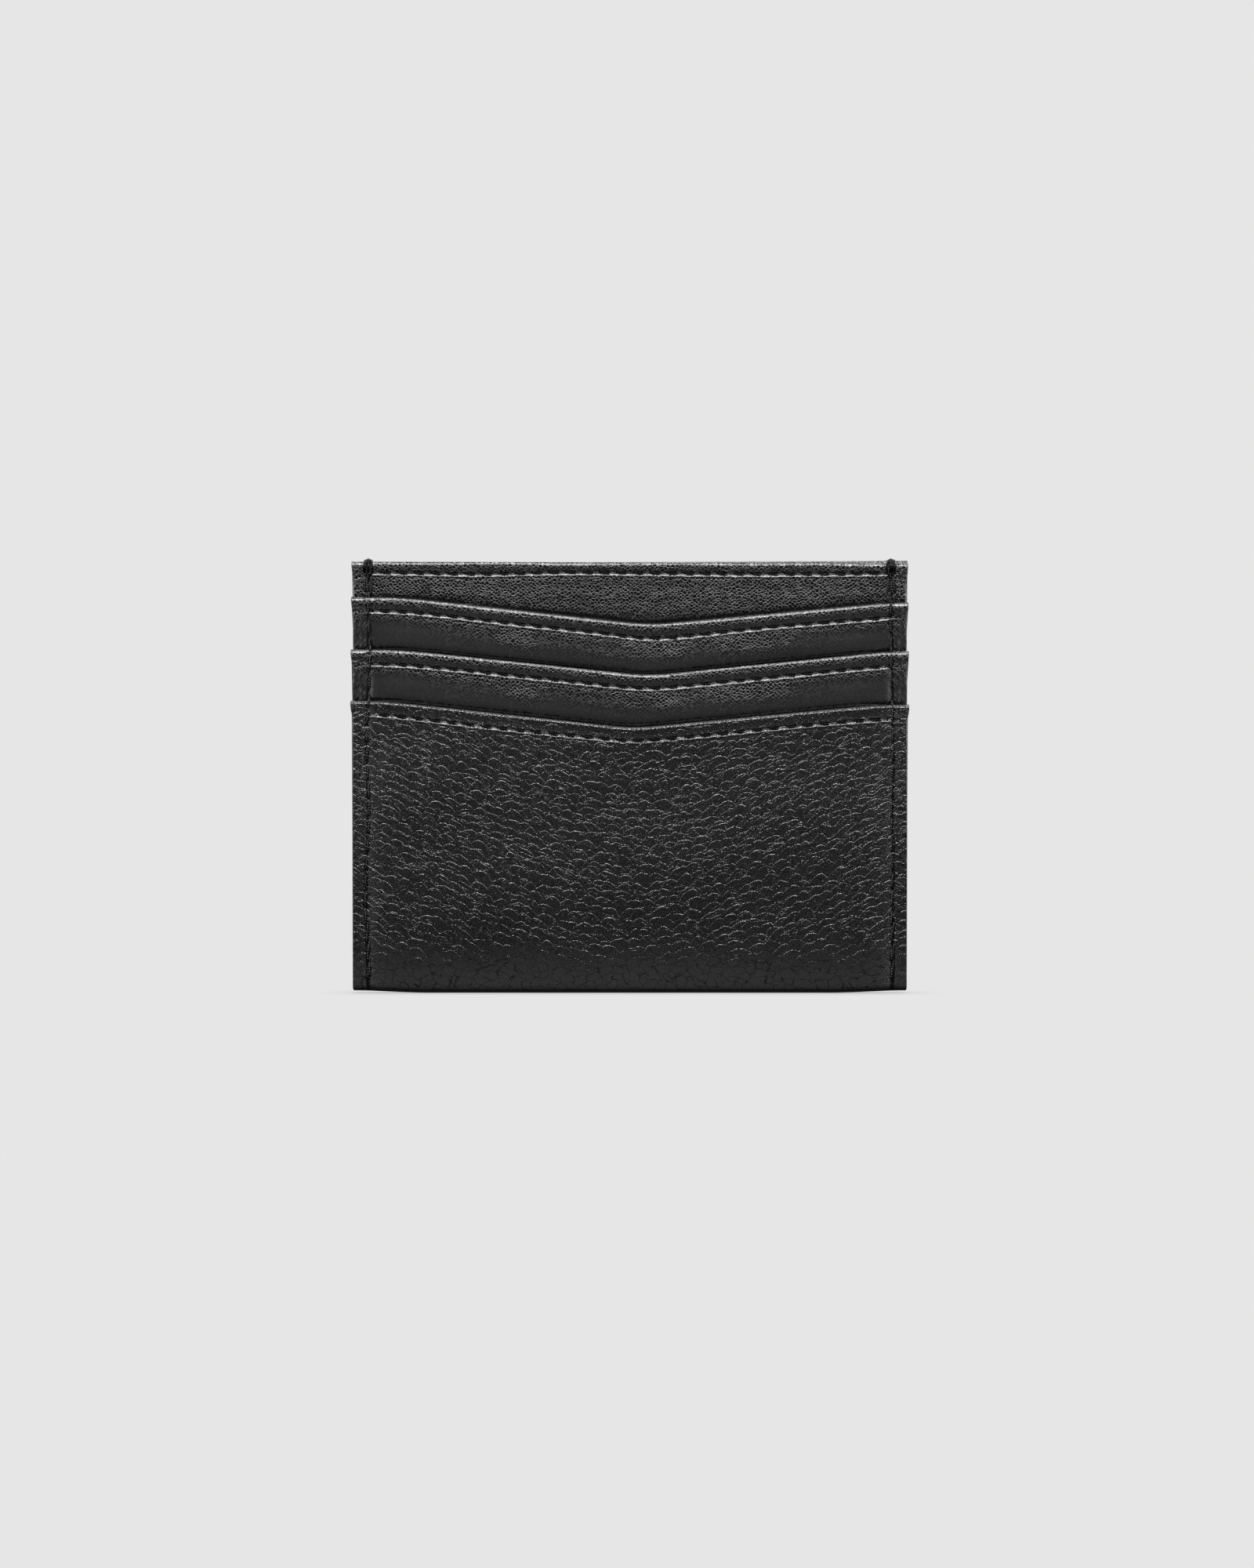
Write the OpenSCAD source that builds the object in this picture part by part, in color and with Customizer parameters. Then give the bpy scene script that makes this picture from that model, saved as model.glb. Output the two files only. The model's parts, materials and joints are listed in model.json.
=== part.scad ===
// Flat card holder with three stepped card slots on the front and one open pocket behind them.
// X is the width, Z is up, and the slots face -Y. It stands on its folded bottom edge.
// The origin is the middle of the bottom fold. All sizes are in millimetres.
//
// Front to back at the middle: front wall, middle slot panel, upper slot panel, top panel,
// the open centre pocket, back wall. Each visible edge of leather is turned over a tape and
// sewn, and every layer is caught by the two side seams, where the stack is pressed thin.

/* [Body] */
// Width over both cut side edges
body_w = 100; // [96:1:120]
// Height of the back wall above the bottom fold
body_h = 78; // [76:1:90]
// How far the top panel stays below the back wall's top edge
top_drop = 0.4; // [0:0.1:1.5]
// Outer radius of the two long edges of the bottom fold
fold_r = 1.2; // [0.6:0.1:1.6]

/* [Slots] */
// Height of the front slot's lip at its lowest point
front_lip_z = 47.8; // [44:0.1:49]
// Height of the middle slot's lip at its lowest point
middle_lip_z = 57.3; // [55:0.1:59]
// Height of the upper slot's lip at its lowest point
upper_lip_z = 66.5; // [64:0.1:67]
// How much higher a lip is at its ends than at its middle
lip_rise = 4.6; // [0.5:0.1:5]
// Radius that rounds the lowest point of a lip
lip_r = 40; // [10:5:80]
// How far a slot panel's leather reaches below its lip
panel_reach = 15; // [10:1:18]

/* [Leather] */
// Thickness of the pebbled outer leather
shell_t = 0.8; // [0.6:0.1:1.2]
// Thickness of the fine-grained panel leather
panel_t = 0.5; // [0.4:0.1:0.8]
// Thickness of the pared flap that is turned over at an edge
flap_t = 0.3; // [0.2:0.05:0.5]
// Height of the turned flap
flap_h = 6.5; // [4:0.5:8]

/* [Hidden layers] */
// Thickness of the reinforcing tape inside a turned edge
tape_t = 0.15; // [0.1:0.05:0.3]
// Thickness of the pocket lining
lining_t = 0.15; // [0.1:0.05:0.2]
// Thickness of the stiffener inside the back wall
stiffener_t = 0.3; // [0.2:0.05:0.3]
// Clear gap in each card slot at the middle of the width
slot_gap = 0.35; // [0.3:0.05:1]
// Clear gap of the centre pocket at the middle of the width
centre_gap = 0.8; // [0.5:0.1:3]

/* [Stitching] */
// Distance from one stitch to the next
stitch_pitch = 3.05; // [3:0.05:4]
// Length of thread that shows in each stitch
stitch_len = 2.2; // [1.8:0.1:2.6]
// Thread diameter
thread_d = 0.36; // [0.2:0.02:0.4]
// Distance of a stitch row below the slot lip it sews
row_drop = 2.6; // [2:0.1:3.5]
// Distance of a stitch row below the straight top edge it sews
top_row_drop = 2.1; // [1.8:0.1:3.5]
// Distance of the side seams in from the cut side edges
seam_inset = 2.8; // [2.5:0.1:3.5]

/* [Hidden] */

pebbled = "#2a2a2b";
fine = "#313132";
cloth = "#161617";
thread = "#0c0c0c";
tape = "#d8d2c2";
board = "#8b7a5e";

shell_hem = shell_t + tape_t + flap_t;   // a turned edge of the outer leather
panel_hem = panel_t + tape_t + flap_t;   // a turned edge of a panel
pressed = 2 * shell_hem + 3 * panel_hem; // depth of the stack at the side seams
puffed = pressed + 3 * slot_gap + centre_gap;

flat_inset = 9;     // the walls are flat from this far inside the side edges
margin_inset = 5;   // and pressed together outside this
lining_inset = 1.6; // linings and tapes end this far inside the side edges
board_margin = 2;   // the stiffener runs this far past the flat part
flat_half = body_w / 2 - flat_inset;
margin_half = body_w / 2 - margin_inset;
lining_half = body_w / 2 - lining_inset;
board_half = flat_half + board_margin;
seam_x = body_w / 2 - seam_inset;
seam_gap = 0.6;     // leather that shows between two stitches of a side seam
row_inset = 1;      // a stitch row ends this far inside the side seams

// Front face of each front layer: [at the middle, at the side margins]
front_face = [-puffed / 2, -pressed / 2];
middle_face = front_face + [shell_hem + slot_gap, shell_hem];
upper_face = middle_face + [panel_hem + slot_gap, panel_hem];
top_face = upper_face + [panel_hem + slot_gap, panel_hem];
back_face = -front_face;      // outer face of the back wall
back_inner = back_face - [shell_t, shell_t];

top_z = body_h - top_drop;
fold_cap = 0.7;               // height of the fold itself above the tape
tape_end = 1;                 // the tape stops this far above the flap's end
tape_h = flap_h - fold_cap - tape_end;
lining_start = flap_h + 0.2;  // a lining starts just below the turned flap
lining_floor = 1.4;           // lowest point of a full-height lining
middle_floor = 10;            // bottom of the middle pocket
upper_floor = 19;             // bottom of the upper pocket
top_reach = 23;               // how far the top panel's leather reaches down
bottom_row = 2;               // a hidden row sits this far above its pocket's bottom
board_low = 3;                // lowest edge of the stiffener
board_high = body_h - flap_h - 1;

prism_h = body_h + 10;        // the prisms that are cut to shape reach past the part
prism_y = 4 * puffed;

lip_angle = atan(lip_rise / margin_half);
arc_half = lip_r * sin(lip_angle);
arc_steps = 8;

// Height of a lip above its own lowest point, at a distance x from the middle.
function lip_up(x) =
  abs(x) >= margin_half ? lip_rise :
  abs(x) >= arc_half ? abs(x) * tan(lip_angle) :
  arc_half * tan(lip_angle) + lip_r * cos(lip_angle) - sqrt(lip_r * lip_r - x * x);

// Upper outline of a lip from left to right, "half" being the sheet's half width.
function lip_line(z, half) = concat(
  [[-half, z + lip_rise], [-margin_half, z + lip_rise]],
  [for (i = [0:arc_steps])
    let (x = arc_half * (2 * i / arc_steps - 1)) [x, z + lip_up(x)]],
  [[margin_half, z + lip_rise], [half, z + lip_rise]]
);

// Straight upper outline.
function level_line(z, half) = [[-half, z], [half, z]];

function reversed(points) = [for (i = [len(points) - 1:-1:0]) points[i]];

// Depth of a face at a distance x from the middle.
function face_y(face, x) =
  abs(x) <= flat_half ? face[0] :
  abs(x) >= margin_half ? face[1] :
  face[0] + (face[1] - face[0]) * (abs(x) - flat_half) / (margin_half - flat_half);

// Seen from above, one wall of the stack: flat in the middle and pressed in at both sides.
module wall_plan(face, from, to, half) {
  stations = [-half, -margin_half, -flat_half, flat_half, margin_half, half];
  polygon(concat(
    [for (x = stations) [x, face_y(face, x) + from]],
    reversed([for (x = stations) [x, face_y(face, x) + to]])
  ));
}

// A wall of sheet material between two depths behind a face, under an upper outline.
module sheet(face, from, to, low, upper_line, half) {
  intersection() {
    linear_extrude(prism_h) wall_plan(face, from, to, half);
    rotate([90, 0, 0])
      linear_extrude(prism_y, center = true)
        polygon(concat([[half, low], [-half, low]], upper_line));
  }
}

// A band that follows an edge, from one distance below it to another.
module edge_band(face, from, to, upper_line, top, bottom, half) {
  intersection() {
    linear_extrude(prism_h) wall_plan(face, from, to, half);
    rotate([90, 0, 0])
      linear_extrude(prism_y, center = true)
        polygon(concat(
          [for (p = upper_line) p - [0, top]],
          reversed([for (p = upper_line) p - [0, bottom]])
        ));
  }
}

// Leather whose upper edge is turned to the back over a tape. "dir" is 1 when the back of
// the leather is towards +Y and -1 when it is towards -Y.
module turned_edge(face, t, dir, upper_line) {
  half = body_w / 2;
  hem = t + tape_t + flap_t;
  edge_band(face, dir > 0 ? 0 : -hem, dir > 0 ? hem : 0, upper_line, 0, fold_cap, half);
  edge_band(face, dir > 0 ? hem - flap_t : -hem, dir > 0 ? hem : flap_t - hem,
    upper_line, 0, flap_h, half);
}

module edge_tape(face, t, dir, upper_line) {
  edge_band(face, dir > 0 ? t : -t - tape_t, dir > 0 ? t + tape_t : -t,
    upper_line, fold_cap, fold_cap + tape_h, lining_half);
}

// Outer leather: front wall, bottom fold and back wall in one piece.
module outer_shell() {
  half = body_w / 2;
  front_line = lip_line(front_lip_z, half);
  back_line = level_line(body_h, half);
  color(pebbled)
    intersection() {
      union() {
        sheet(front_face, 0, shell_t, 0, front_line, half);
        turned_edge(front_face, shell_t, 1, front_line);
        sheet(back_face, -shell_t, 0, 0, back_line, half);
        turned_edge(back_face, shell_t, -1, back_line);
        linear_extrude(shell_t) fold_plan(half);
      }
      fold_rounding(half);
    }
}

// Everything between the outer faces of the two walls, seen from above.
module fold_plan(half) {
  stations = [-half, -margin_half, -flat_half, flat_half, margin_half, half];
  polygon(concat(
    [for (x = stations) [x, face_y(front_face, x)]],
    reversed([for (x = stations) [x, face_y(back_face, x)]])
  ));
}

// Rounds the two long edges of the fold.
module fold_rounding(half) {
  depth = puffed / 2;
  rotate([90, 0, 90])
    linear_extrude(2 * half, center = true)
      union() {
        translate([-depth, fold_r]) square([2 * depth, body_h]);
        translate([fold_r - depth, 0]) square([2 * (depth - fold_r), 2 * fold_r]);
        for (side = [-1, 1])
          translate([side * (depth - fold_r), fold_r]) circle(fold_r, $fn = 48);
      }
}

// A fine-grained panel that forms one slot.
module slot_panel(face, lip_z) {
  half = body_w / 2;
  line = lip_line(lip_z, half);
  color(fine) {
    sheet(face, 0, panel_t, lip_z - panel_reach, line, half);
    turned_edge(face, panel_t, 1, line);
  }
}

module middle_slot_panel() { slot_panel(middle_face, middle_lip_z); }

module upper_slot_panel() { slot_panel(upper_face, upper_lip_z); }

module top_front_panel() {
  half = body_w / 2;
  line = level_line(top_z, half);
  color(fine) {
    sheet(top_face, 0, panel_t, top_z - top_reach, line, half);
    turned_edge(top_face, panel_t, 1, line);
  }
}

// Lining glued to the back of a panel, running down to the bottom of its pocket.
module pocket_lining(face, t, low, upper_line) {
  color(cloth) sheet(face, t, t + lining_t, low, upper_line, lining_half);
}

module front_pocket_lining() {
  pocket_lining(front_face, shell_t, lining_floor,
    lip_line(front_lip_z - lining_start, lining_half));
}

module middle_pocket_lining() {
  pocket_lining(middle_face, panel_t, middle_floor,
    lip_line(middle_lip_z - lining_start, lining_half));
}

module upper_pocket_lining() {
  pocket_lining(upper_face, panel_t, upper_floor,
    lip_line(upper_lip_z - lining_start, lining_half));
}

module centre_pocket_front_lining() {
  pocket_lining(top_face, panel_t, lining_floor,
    level_line(top_z - lining_start, lining_half));
}

module centre_pocket_back_lining() {
  pocket_lining(back_inner, -stiffener_t - lining_t, lining_floor,
    level_line(body_h - lining_start, lining_half));
}

module back_stiffener() {
  color(board)
    sheet(back_inner, -stiffener_t, 0, board_low,
      level_line(board_high, board_half), board_half);
}

module front_lip_tape() {
  color(tape) edge_tape(front_face, shell_t, 1, lip_line(front_lip_z, lining_half));
}

module middle_lip_tape() {
  color(tape) edge_tape(middle_face, panel_t, 1, lip_line(middle_lip_z, lining_half));
}

module upper_lip_tape() {
  color(tape) edge_tape(upper_face, panel_t, 1, lip_line(upper_lip_z, lining_half));
}

module top_front_tape() {
  color(tape) edge_tape(top_face, panel_t, 1, level_line(top_z, lining_half));
}

module top_back_tape() {
  color(tape) edge_tape(back_face, shell_t, -1, level_line(body_h, lining_half));
}

// One stitch of thread between two points.
module stitch(a, b) {
  v = b - a;
  translate(a)
    rotate([0, acos(v.z / norm(v)), atan2(v.y, v.x)])
      cylinder(h = norm(v), d = thread_d, $fn = 8);
}

row_count = floor(2 * (seam_x - row_inset) / stitch_pitch);

// Row of stitches lying on a face, "drop" below an edge. "dir" is the side the face looks to.
module stitch_row(face, dir, edge_z, rise, drop) {
  lift = dir * thread_d / 2;
  color(thread)
    for (i = [0:row_count - 1]) {
      x = (i - (row_count - 1) / 2) * stitch_pitch;
      ends = [for (s = [-1, 1]) let (u = x + s * stitch_len / 2)
        [u, face_y(face, u) + lift, edge_z - drop + rise * lip_up(u)]];
      stitch(ends[0], ends[1]);
    }
}

module front_lip_stitching() { stitch_row(front_face, -1, front_lip_z, 1, row_drop); }

module middle_lip_stitching() { stitch_row(middle_face, -1, middle_lip_z, 1, row_drop); }

module upper_lip_stitching() { stitch_row(upper_face, -1, upper_lip_z, 1, row_drop); }

module top_front_stitching() { stitch_row(top_face, -1, top_z, 0, top_row_drop); }

module top_back_stitching() { stitch_row(back_face, 1, body_h, 0, top_row_drop); }

// Hidden rows that close the two inner pockets, on the front of their linings.
module middle_pocket_bottom_stitching() {
  stitch_row(middle_face + [panel_t, panel_t], -1, middle_floor + bottom_row, 0, 0);
}

module upper_pocket_bottom_stitching() {
  stitch_row(upper_face + [panel_t, panel_t], -1, upper_floor + bottom_row, 0, 0);
}

seam_low = 2; // lowest stitch of a side seam
seam_count = floor((body_h - seam_low) / stitch_pitch);
seam_step = (body_h - seam_low) / seam_count;
seam_thread = seam_step - seam_gap;

// Depth of the pressed stack's front surface at a height on the side seam.
function seam_front(z) =
  z < front_lip_z + lip_rise ? front_face[1] :
  z < middle_lip_z + lip_rise ? middle_face[1] :
  z < upper_lip_z + lip_rise ? upper_face[1] : top_face[1];

// Side seam through the whole stack, with a loop of thread over the top edges.
module side_seam(side) {
  lift = thread_d / 2;
  x = side * seam_x;
  color(thread) {
    for (i = [0:seam_count - 1]) {
      low = seam_low + i * seam_step;
      front_y = seam_front(low) - lift;
      back_y = back_face[1] + lift;
      stitch([x, front_y, low], [x, front_y, low + seam_thread]);
      stitch([x, back_y, low], [x, back_y, low + seam_thread]);
    }
    stitch([x, top_face[1], body_h + lift], [x, back_face[1], body_h + lift]);
  }
}

module left_side_seam() { side_seam(-1); }

module right_side_seam() { side_seam(1); }

outer_shell();
middle_slot_panel();
upper_slot_panel();
top_front_panel();
front_pocket_lining();
middle_pocket_lining();
upper_pocket_lining();
centre_pocket_front_lining();
centre_pocket_back_lining();
back_stiffener();
front_lip_tape();
middle_lip_tape();
upper_lip_tape();
top_front_tape();
top_back_tape();
front_lip_stitching();
middle_lip_stitching();
upper_lip_stitching();
top_front_stitching();
top_back_stitching();
middle_pocket_bottom_stitching();
upper_pocket_bottom_stitching();
left_side_seam();
right_side_seam();
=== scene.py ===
import json
import math

import bmesh
import bpy
import numpy as np
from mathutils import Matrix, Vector


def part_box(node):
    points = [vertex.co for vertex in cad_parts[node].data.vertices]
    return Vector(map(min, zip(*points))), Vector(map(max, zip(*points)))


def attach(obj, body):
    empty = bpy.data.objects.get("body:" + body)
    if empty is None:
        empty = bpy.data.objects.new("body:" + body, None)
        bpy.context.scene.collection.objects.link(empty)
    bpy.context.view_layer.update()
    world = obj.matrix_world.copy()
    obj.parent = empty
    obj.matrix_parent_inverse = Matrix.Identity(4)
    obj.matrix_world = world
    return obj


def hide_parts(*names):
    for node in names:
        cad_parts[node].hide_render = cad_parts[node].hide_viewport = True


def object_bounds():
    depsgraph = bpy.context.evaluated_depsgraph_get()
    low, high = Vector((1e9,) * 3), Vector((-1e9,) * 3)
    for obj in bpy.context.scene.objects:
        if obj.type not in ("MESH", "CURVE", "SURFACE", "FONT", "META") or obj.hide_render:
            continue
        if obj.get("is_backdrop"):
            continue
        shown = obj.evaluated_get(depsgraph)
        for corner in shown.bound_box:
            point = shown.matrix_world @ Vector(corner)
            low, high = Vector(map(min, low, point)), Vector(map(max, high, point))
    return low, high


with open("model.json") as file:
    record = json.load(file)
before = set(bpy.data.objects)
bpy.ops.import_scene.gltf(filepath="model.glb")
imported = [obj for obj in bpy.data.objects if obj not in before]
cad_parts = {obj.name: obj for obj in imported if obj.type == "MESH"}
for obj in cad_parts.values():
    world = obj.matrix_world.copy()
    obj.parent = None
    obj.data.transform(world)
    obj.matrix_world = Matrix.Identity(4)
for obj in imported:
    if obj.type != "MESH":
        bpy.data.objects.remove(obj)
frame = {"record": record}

cad_low, cad_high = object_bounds()

MM = 0.001
BODY = "root"

# -------- sizes that shape the leather
SHELL_T = 0.8 * MM          # pebbled leather
PANEL_T = 0.5 * MM          # fine-grained leather
TURN_T = 0.45 * MM          # tape and pared flap behind a turned edge
FLAP_H = 6.5 * MM           # height of the turned flap
LINING_T = 0.12 * MM
STIFFENER_T = 0.3 * MM
LINING_ROOM = 0.45 * MM     # stiffener and lining in front of the back wall
FOLD_CAP = 0.7 * MM         # fold of leather above a tape
TAPE_T = 0.15 * MM
TAPE_H = 4.8 * MM
ROW_DROP = 2.6 * MM         # stitch row below its edge
ROW_RAISED = 0.5 * MM       # a straight edge's row is this much closer to it
THREAD_D = 0.36 * MM        # diameter of the CAD stitches
STITCH_PITCH = 3.05 * MM
STITCH_LEN = 2.2 * MM
PLY_R = 0.132 * MM          # one of a thread's two plies
SEAM_PLY_R = 0.150 * MM
TWIST = 0.95 * MM           # length of one turn of the plies
SEAM_LOW = 2.0 * MM         # a side seam's lowest hole
SEAM_PITCH = 3.3 * MM
EDGE_R = 0.2 * MM           # rounding of a cut and painted edge
PANEL_PROUD = 0.03 * MM     # cut ends of the panels show this far out of the painted edge
PAINT_W = 1.0 * MM          # the stack is painted over in this outermost part
PAINT_MEET = 0.04 * MM      # how far past the middle each wall's paint reaches
THIN_CREST_R = 0.32 * MM    # crest of a turned edge in thin leather
THICK_CREST_R = 0.60 * MM
CREST_TURN = math.radians(50)  # how far round the crest goes before it eases into the face
PINCH_POWER = 14            # how late the puffed middle drops to the side seams
BOTTOM_HALF_MID = 2.75 * MM  # half the depth just above the fold, at the middle
BOTTOM_HALF_SIDE = 1.4 * MM  # and at the side seams
TAPER_TOP = 44 * MM         # the walls reach their full depth here
FOLD_H = 1.7 * MM           # height of the rounded fold
FOLD_SQUARE = 0.55          # 1 is an ellipse, less is squarer
CORNER_LIFT = 0.4 * MM      # the fold's two ends sit this much higher
LIP_RISE = 4.6 * MM
LIP_FLAT = 45 * MM          # a lip is level outside this
LIP_ARC = 40 * MM           # radius of a lip's lowest point

# -------- heights of the leather's relief
ROLL_H = 0.05 * MM          # turned edge above its row, and its flap's end
GROOVE_H = 0.15 * MM        # the stitch row, pressed in
RIDGE_H = 0.05 * MM         # leather pushed up below the row
RIDGE_DROP = 0.54 * MM      # from the row to that ridge
SEAM_GROOVE_H = 0.10 * MM
SEAM_HOLE_H = 0.08 * MM
SEAM_RIM_H = 0.12 * MM      # leather pushed up beside a hole
STRIP_H = 0.10 * MM         # strips outside the side seams
WRINKLE_H = 0.055 * MM
SWELL_H = 0.06 * MM
TOP_BOW, STRIP_BOW = 0.20 * MM, 0.40 * MM  # how far a slot panel bows out

HALF_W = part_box("outer_shell")[1].x
SEAM_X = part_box("right_side_seam")[0].x + THREAD_D / 2
TOP_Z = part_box("outer_shell")[1].z


class Layer:
    """One leather wall that ends in a turned, sewn edge."""

    def __init__(self, row, tape, leather, back=1, straight=False, shift=0.0, tilt=0.0, lift=0.0):
        low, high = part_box(row)
        tape_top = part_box(tape)[1].z
        self.row, self.tape = row, tape
        self.back = back                       # +1 if its inside is towards +Y
        if back > 0:
            self.mid, self.side = low.y + THREAD_D, high.y
        else:
            self.mid, self.side = high.y - THREAD_D, low.y
        self.leather = leather
        self.hem = leather + TURN_T
        self.rise = 0.0 if straight else LIP_RISE
        self.low_z = tape_top + FOLD_CAP + lift - self.rise
        self.row_drop = ROW_DROP - (ROW_RAISED if straight else 0.0)
        self.shift = shift                     # sewn this far off centre
        self.tilt = tilt                       # and this much higher at the left

    def lip(self, x):
        """Height of the edge at x."""
        angle = math.atan2(LIP_RISE, LIP_FLAT)
        arc = LIP_ARC * math.sin(angle)
        a = np.abs(x - self.shift)
        bowl = arc * math.tan(angle) + LIP_ARC * math.cos(angle)
        bowl = bowl - np.sqrt(np.maximum(LIP_ARC ** 2 - np.minimum(a, arc) ** 2, 0))
        up = np.where(a < arc, bowl, a * math.tan(angle))
        # the slope eases into the level ends
        soft = 3 * MM
        up = LIP_RISE - soft_plus(LIP_RISE - up, 0.08 * soft)
        up = up * (self.rise / LIP_RISE)
        return self.low_z + up - self.tilt * x / HALF_W


def soft_plus(v, width):
    """max(v, 0) with a rounded corner."""
    return np.maximum(v, 0) + width * np.log1p(np.exp(-np.abs(v) / width))


def smooth(v, low, high):
    """0 below low, 1 above high, eased between."""
    t = np.clip((v - low) / (high - low), 0, 1)
    return t * t * (3 - 2 * t)


def bell(v, centre, width):
    """1 at the centre, fading on both sides."""
    return np.exp(-((v - centre) / width) ** 2)


def waves(u, v, length, seed, count=14, stretch=1.0):
    """Smooth random relief from -1 to 1: plane waves of about the given length."""
    rng = np.random.default_rng(seed)
    total = np.zeros(np.broadcast(u, v).shape)
    for _ in range(count):
        angle, phase = rng.uniform(0, 2 * math.pi, 2)
        k = 2 * math.pi / (length * rng.uniform(0.7, 1.5))
        total += np.cos(k * (u / stretch * math.cos(angle) + v * math.sin(angle)) + phase)
    return total / math.sqrt(count)


FRONT = Layer("front_lip_stitching", "front_lip_tape", SHELL_T, shift=0.5 * MM, tilt=0.35 * MM)
MIDDLE = Layer("middle_lip_stitching", "middle_lip_tape", PANEL_T, shift=3.4 * MM, tilt=0.1 * MM)
UPPER = Layer("upper_lip_stitching", "upper_lip_tape", PANEL_T, shift=3.6 * MM, tilt=0.45 * MM)
TOP = Layer("top_front_stitching", "top_front_tape", PANEL_T, straight=True, tilt=0.15 * MM,
            lift=0.25 * MM)
BACK = Layer("top_back_stitching", "top_back_tape", SHELL_T, back=-1, straight=True, tilt=-0.2 * MM,
             lift=0.02 * MM)
FRONT_LAYERS = [FRONT, MIDDLE, UPPER, TOP]
LAYERS = FRONT_LAYERS + [BACK]


# -------- where each surface lies
def pinch(x):
    """1 over the puffed middle, 0 at the side seams and outside them."""
    return 1 - np.minimum(np.abs(x) / SEAM_X, 1) ** PINCH_POWER


def wall_depth(layer, x, z):
    """Depth of a wall's outer face, before its relief."""
    mid, side = layer.mid, layer.side
    if layer in (FRONT, BACK):
        grow = np.sin(smooth(z, -6 * MM, TAPER_TOP) * math.pi / 2)
        low_mid, low_side = -layer.back * BOTTOM_HALF_MID, -layer.back * BOTTOM_HALF_SIDE
        mid = low_mid + (mid - low_mid) * grow
        side = low_side + (side - low_side) * grow
    return side + (mid - side) * pinch(x)


def seam_line(side, z):
    """The side seam isn't quite straight."""
    return side * SEAM_X + 0.22 * MM * waves(z, 0.0, 26 * MM, 11 + side)


def row_holes():
    """Where the holes of a stitch row lie across the width."""
    count = int(2 * (SEAM_X - 0.9 * MM) / STITCH_PITCH)
    return (np.arange(count + 1) - count / 2) * STITCH_PITCH


def seam_holes():
    """Heights of a side seam's holes."""
    count = int((TOP_Z - SEAM_LOW) / SEAM_PITCH)
    return SEAM_LOW + np.arange(count + 1) * (TOP_Z - 0.4 * MM - SEAM_LOW) / count


def row_drift(layer, x):
    """A stitch row wanders a little from its edge."""
    return layer.row_drop + 0.10 * MM * waves(x, 0.0, 30 * MM, int(layer.low_z / MM) + 5)


def holes_relief(u, v, centres, width):
    """v, fading away from the hole positions along u."""
    near = np.abs(u[..., None] - centres).min(-1)
    return np.exp(-(near / width) ** 2) * v


def between_seams(x):
    """1 between the two side seams, 0 in the strips outside them."""
    return smooth(SEAM_X - np.abs(x), -0.4 * MM, 0.2 * MM)


def relief(layer, x, z, drop):
    """How far the leather stands out (+) or is pulled in (-) from its plain face."""
    out = np.zeros(np.broadcast(x, z).shape)
    ax = np.abs(x)
    inside = smooth(SEAM_X - ax, 0.2 * MM, 1.6 * MM)
    row = row_drift(layer, x)
    seed = int(layer.low_z / MM)
    # the turned edge stands out as a low roll, held down by the stitch row
    out += ROLL_H * bell(drop, 1.3 * MM, 0.8 * MM)
    out += SWELL_H * bell(drop, row + 1.3 * MM, 0.9 * MM) * inside
    out += ROLL_H * (1 - smooth(drop, FLAP_H - 0.5 * MM, FLAP_H + 1.0 * MM))
    held = (0.35 + 0.65 * inside) * between_seams(ax)
    # the groove is deep under each stitch, and the leather stands up between two of them
    width, pull = (0.70 * MM, 0.90) if layer in (FRONT, BACK) else (0.45 * MM, 0.75)
    near_hole = holes_relief(x, 1.0, row_holes(), width) * (ax < SEAM_X)
    pressed_in = held * (1 - pull * near_hole)
    down = drop - row
    groove = smooth(down, -0.36 * MM, -0.16 * MM)
    groove = groove * (1 - np.clip((down - 0.22 * MM) / (0.22 * MM), 0, 1))
    out -= GROOVE_H * groove * pressed_in
    ripple = 0.05 * MM * waves(x, 0.0, 1.9 * MM, 61 + seed)
    ridge = RIDGE_H * (1 + 0.50 * waves(x, 0.0, 1.5 * MM, 71 + seed))
    out += ridge * bell(drop, row + RIDGE_DROP + ripple, 0.18 * MM) * held
    # the side seams
    for side in (-1, 1):
        line = seam_line(side, z)
        near = bell(x, line, 0.34 * MM)
        out -= SEAM_GROOVE_H * near
        out -= holes_relief(z, SEAM_HOLE_H * near, seam_holes(), 0.45 * MM)
        rim = bell(x, line - side * 0.30 * MM, 0.22 * MM)
        out += holes_relief(z + 0.30 * MM, SEAM_RIM_H * rim, seam_holes(), 0.26 * MM)
    out += STRIP_H * smooth(ax, SEAM_X + 0.3 * MM, SEAM_X + 1.2 * MM)
    # compression wrinkles in the strips outside the seams, and short ones just inside
    wrinkle = 1 - np.abs(waves(x, z + 0.35 * ax, 1.3 * MM, 31 + seed, stretch=3.0))
    out += WRINKLE_H * wrinkle * smooth(ax, SEAM_X - 1.6 * MM, SEAM_X + 0.6 * MM)
    # slow swell of the leather
    out += SWELL_H * waves(x, z, 24 * MM, 51 + seed) * inside
    return out


def layer_below(layer):
    """The wall in front of a slot panel, whose lip crosses it."""
    return FRONT_LAYERS[FRONT_LAYERS.index(layer) - 1]


def strip_swell(layer, x, z):
    """A slot panel bows out between its own row and the lip in front of it."""
    foot = layer_below(layer).lip(x)
    head = layer.lip(x) - layer.row_drop
    up = np.maximum(z - foot, 0)
    bow = TOP_BOW if layer is TOP else STRIP_BOW
    rise = bow * (1 - np.exp(-up / (0.50 * MM)))
    return rise * (1 - smooth(z, foot + 1.2 * MM, head)) * pinch(x)


def outer_face(layer, x, z):
    """Depth of a wall's finished outer face."""
    drop = layer.lip(x) - z
    out = relief(layer, x, z, drop)
    if layer in FRONT_LAYERS[1:]:
        out = out + strip_swell(layer, x, z)
    return wall_depth(layer, x, z) - layer.back * out


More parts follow.
